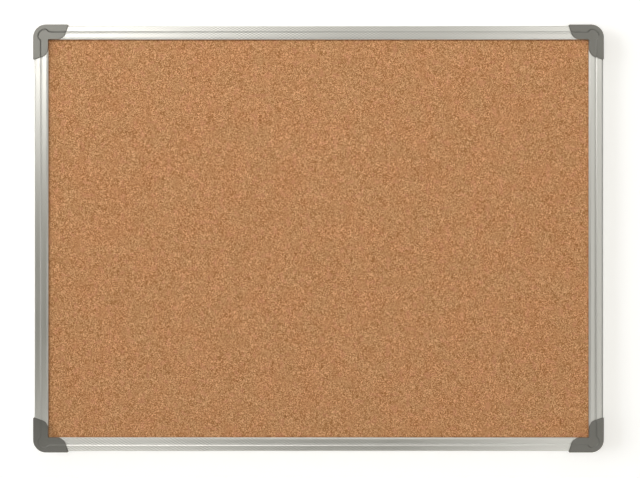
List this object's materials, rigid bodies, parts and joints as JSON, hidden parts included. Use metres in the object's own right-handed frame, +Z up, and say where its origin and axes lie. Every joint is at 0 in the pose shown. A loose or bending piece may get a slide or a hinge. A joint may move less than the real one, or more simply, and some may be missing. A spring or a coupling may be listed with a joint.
{
  "type": "cork pin board",
  "caption": "Cork pin board in a slim grooved aluminium frame with grey plastic corner mouldings and keyhole hangers that slide along the rear, for pinning badges or notes.",
  "frame": {"origin": "in the wall plane, behind the middle of the board", "axes": "+X to the viewer's right along the long side, +Z up, the cork face looks along -Y"},
  "size_m": [0.6, 0.0176, 0.45],
  "materials": {
    "cork": "matte",
    "softboard": "matte",
    "back_sheet": "matte",
    "satin_aluminium": "satin",
    "corner_plastic": "satin",
    "zinc_steel": "satin"
  },
  "bodies": {
    "board": {"cork_sheet": "cork", "softboard_core": "softboard", "back_sheet": "back_sheet", "bottom_rail": "satin_aluminium", "right_rail": "satin_aluminium", "top_rail": "satin_aluminium", "left_rail": "satin_aluminium", "corner_bottom_left": "corner_plastic", "corner_bottom_right": "corner_plastic", "corner_top_right": "corner_plastic", "corner_top_left": "corner_plastic", "screw_bottom_rail_left": "zinc_steel", "screw_bottom_rail_right": "zinc_steel", "screw_right_rail_bottom": "zinc_steel", "screw_right_rail_top": "zinc_steel", "screw_top_rail_right": "zinc_steel", "screw_top_rail_left": "zinc_steel", "screw_left_rail_top": "zinc_steel", "screw_left_rail_bottom": "zinc_steel"},
    "top_left_hanger": {"hanger_top_left": "zinc_steel"},
    "top_right_hanger": {"hanger_top_right": "zinc_steel"},
    "bottom_left_hanger": {"hanger_bottom_left": "zinc_steel"},
    "bottom_right_hanger": {"hanger_bottom_right": "zinc_steel"}
  },
  "joints": [
    {"name": "top_left_slide", "type": "slide", "parent": "board", "child": "top_left_hanger", "axis": [1, 0, 0], "range_m": [-0.065, 0.18]},
    {"name": "top_right_slide", "type": "slide", "parent": "board", "child": "top_right_hanger", "axis": [1, 0, 0], "range_m": [-0.18, 0.065]},
    {"name": "bottom_left_slide", "type": "slide", "parent": "board", "child": "bottom_left_hanger", "axis": [1, 0, 0], "range_m": [-0.065, 0.18]},
    {"name": "bottom_right_slide", "type": "slide", "parent": "board", "child": "bottom_right_hanger", "axis": [1, 0, 0], "range_m": [-0.18, 0.065]}
  ]
}
